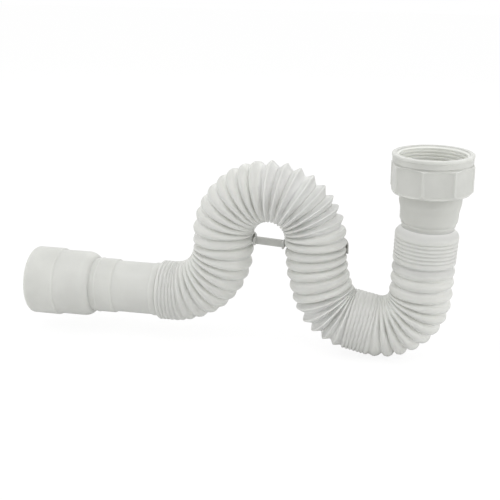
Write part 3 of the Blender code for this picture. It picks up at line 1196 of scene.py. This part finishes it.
class TRAP_OT_clip(bpy.types.Operator):
    """Model the bend clip: two saddles joined by a bar"""

    bl_idname = "trap.clip"
    bl_label = "Bend clip"

    def execute(self, context):
        sizes = context.scene.trap_clip
        before = sum(length for length, _ in ROUTE[:ARCH_STRETCH])
        after = before + ROUTE[ARCH_STRETCH][0]
        drop = 6.9 * MM
        slant = 1.3 * MM
        right_x, level, _ = route_at(before - drop)
        left_x, _, _ = route_at(after + drop)
        reach = CREST_RADIUS + sizes.clearance + sizes.thick / 2
        clip = draw_saddle(sizes, right_x, level, -1)
        clip.name = "bend_clip_moulding"
        cut(clip, draw_saddle(sizes, left_x, level + slant, 1), "UNION")
        cut(clip, draw_bar(sizes, left_x + reach, right_x - reach, level, slant), "UNION")
        smooth(clip, 35.0)
        material = moulded_plastic("clip_satin_plastic", tuple(sizes.colour), 0.45, 0.12).material
        place_piece(clip, "trap", "bend_clip", material)
        return {"FINISHED"}


# Studio


def studio_white(name, shadow, lit):
    """White to the camera, with a share of the shadow kept. lit is the floor's level in full light."""
    material = bpy.data.materials.new(name)
    material.use_nodes = True
    nodes = material.node_tree.nodes
    links = material.node_tree.links
    nodes.clear()
    output = nodes.new("ShaderNodeOutputMaterial")
    plain = nodes.new("ShaderNodeBsdfDiffuse")
    set_inputs(plain, Color=(0.82, 0.82, 0.82, 1.0))
    glow = nodes.new("ShaderNodeEmission")
    set_inputs(glow, Color=(1.0, 1.0, 1.0, 1.0), Strength=(1.0 - shadow * lit) / (1.0 - shadow))
    path = nodes.new("ShaderNodeLightPath")
    keep = nodes.new("ShaderNodeMath")
    keep.operation = "MULTIPLY"
    keep.inputs[1].default_value = 1.0 - shadow
    mix = nodes.new("ShaderNodeMixShader")
    links.new(path.outputs["Is Camera Ray"], keep.inputs[0])
    links.new(keep.outputs["Value"], mix.inputs["Fac"])
    links.new(plain.outputs["BSDF"], mix.inputs[1])
    links.new(glow.outputs["Emission"], mix.inputs[2])
    links.new(mix.outputs["Shader"], output.inputs["Surface"])
    return material


# Name, place, aim, width and height of each lamp, and the size that holds its power
LAMPS = (
    ("lamp_above", (-0.2, -0.3, 0.88), (-0.14, 0.0, -0.05), (1.0, 0.8), "top"),
    ("lamp_right", (0.8, -0.25, 0.3), (-0.1, 0.0, -0.05), (0.8, 0.8), "right"),
    ("lamp_behind", (-0.1, 1.0, 0.55), (-0.14, 0.0, -0.05), (1.0, 0.6), "behind"),
    ("lamp_left", (-1.1, -0.25, 0.3), (-0.15, 0.0, -0.05), (0.8, 0.8), "left"),
)


def add_lamp(name, place, aim, size, power):
    deselect()
    bpy.ops.object.light_add(type="AREA", location=place)
    lamp = bpy.context.object
    lamp.name = name
    lamp.data.shape = "RECTANGLE"
    lamp.data.size = size[0]
    lamp.data.size_y = size[1]
    lamp.data.energy = power
    lamp.rotation_euler = (Vector(aim) - Vector(place)).to_track_quat("-Z", "Y").to_euler()


def add_camera():
    """The photograph's viewing angle, and a place that sets the nut where the photograph has it."""
    azimuth = math.radians(12.85)
    height = math.radians(17.95)
    roll = math.radians(0.2)
    distance = 0.667
    photo_middle = 250.0
    nut_pixel = (432.38, 171.44)
    pixel = distance / 1000.0
    level = math.cos(height)
    right = Vector((math.cos(azimuth), math.sin(azimuth), 0.0))
    back = Vector((math.sin(azimuth) * level, -math.cos(azimuth) * level, math.sin(height)))
    up = back.cross(right)
    across = math.cos(roll) * right + math.sin(roll) * up
    upward = -math.sin(roll) * right + math.cos(roll) * up
    centre = Vector((0.0, 0.0, 1.6 * MM))
    place = centre + distance * back
    place -= (nut_pixel[0] - photo_middle) * pixel * across
    place -= (photo_middle - nut_pixel[1]) * pixel * upward
    deselect()
    bpy.ops.object.camera_add(location=place)
    camera = bpy.context.object
    camera.name = "photo_camera"
    turn = Matrix((across, upward, back)).transposed().to_4x4()
    camera.matrix_world = Matrix.Translation(place) @ turn
    camera.data.sensor_width = 36.0
    camera.data.lens = 72.0
    camera.data.clip_start = 0.01
    camera.data.clip_end = 20.0
    bpy.context.scene.camera = camera


def light_sky(level):
    world = bpy.context.scene.world or bpy.data.worlds.new("studio_sky")
    bpy.context.scene.world = world
    world.use_nodes = True
    nodes = world.node_tree.nodes
    links = world.node_tree.links
    nodes.clear()
    output = nodes.new("ShaderNodeOutputWorld")
    even = nodes.new("ShaderNodeBackground")
    set_inputs(even, Color=(1.0, 1.0, 0.995, 1.0), Strength=level)
    white = nodes.new("ShaderNodeBackground")
    set_inputs(white, Color=(1.0, 1.0, 1.0, 1.0), Strength=1.0)
    path = nodes.new("ShaderNodeLightPath")
    mix = nodes.new("ShaderNodeMixShader")
    links.new(path.outputs["Is Camera Ray"], mix.inputs["Fac"])
    links.new(even.outputs["Background"], mix.inputs[1])
    links.new(white.outputs["Background"], mix.inputs[2])
    links.new(mix.outputs["Shader"], output.inputs["Surface"])


class TRAP_OT_studio(bpy.types.Operator):
    """Set up the plain white floor, the soft lamps and the camera"""

    bl_idname = "trap.studio"
    bl_label = "Studio"

    def execute(self, context):
        sizes = context.scene.trap_studio
        low, high = CAD_BOX
        deselect()
        bpy.ops.mesh.primitive_plane_add(size=6.0, location=((low.x + high.x) / 2, 0.0, low.z - 0.4 * MM))
        floor = context.object
        floor.name = "studio_floor"
        floor.data.materials.append(studio_white("studio_white", 0.15, 0.66))
        for name, place, aim, size, power in LAMPS:
            add_lamp(name, place, aim, size, getattr(sizes, power))
        light_sky(sizes.sky)
        add_camera()
        context.scene.view_settings.view_transform = "Standard"
        return {"FINISHED"}


class TRAP_PT_panel(bpy.types.Panel):
    """Buttons and sizes of the sink trap"""

    bl_idname = "TRAP_PT_panel"
    bl_label = "Sink trap"
    bl_space_type = "VIEW_3D"
    bl_region_type = "UI"
    bl_category = "Sink trap"

    def draw(self, context):
        for operator, group, _ in PIECES:
            box = self.layout.box()
            box.operator(operator)
            sizes = getattr(context.scene, group)
            for name in sizes.bl_rna.properties.keys():
                if name not in ("rna_type", "name"):
                    box.prop(sizes, name)


PIECES = (
    ("trap.hose", "trap_hose", HoseSizes),
    ("trap.sleeve", "trap_sleeve", SleeveSizes),
    ("trap.nut", "trap_nut", NutSizes),
    ("trap.washer", "trap_washer", WasherSizes),
    ("trap.clip", "trap_clip", ClipSizes),
    ("trap.studio", "trap_studio", StudioSizes),
)
CLASSES = (
    *(sizes for _, _, sizes in PIECES),
    TRAP_OT_hose,
    TRAP_OT_sleeve,
    TRAP_OT_nut,
    TRAP_OT_washer,
    TRAP_OT_clip,
    TRAP_OT_studio,
    TRAP_PT_panel,
)


def register():
    for item in CLASSES:
        bpy.utils.register_class(item)
    for _, group, sizes in PIECES:
        setattr(bpy.types.Scene, group, PointerProperty(type=sizes))


def unregister():
    for _, group, _ in PIECES:
        delattr(bpy.types.Scene, group)
    for item in reversed(CLASSES):
        bpy.utils.unregister_class(item)


def main():
    register()
    bpy.ops.trap.hose()
    bpy.ops.trap.sleeve()
    bpy.ops.trap.nut()
    bpy.ops.trap.washer()
    bpy.ops.trap.clip()
    bpy.ops.trap.studio()


if __name__ == "__main__":
    main()
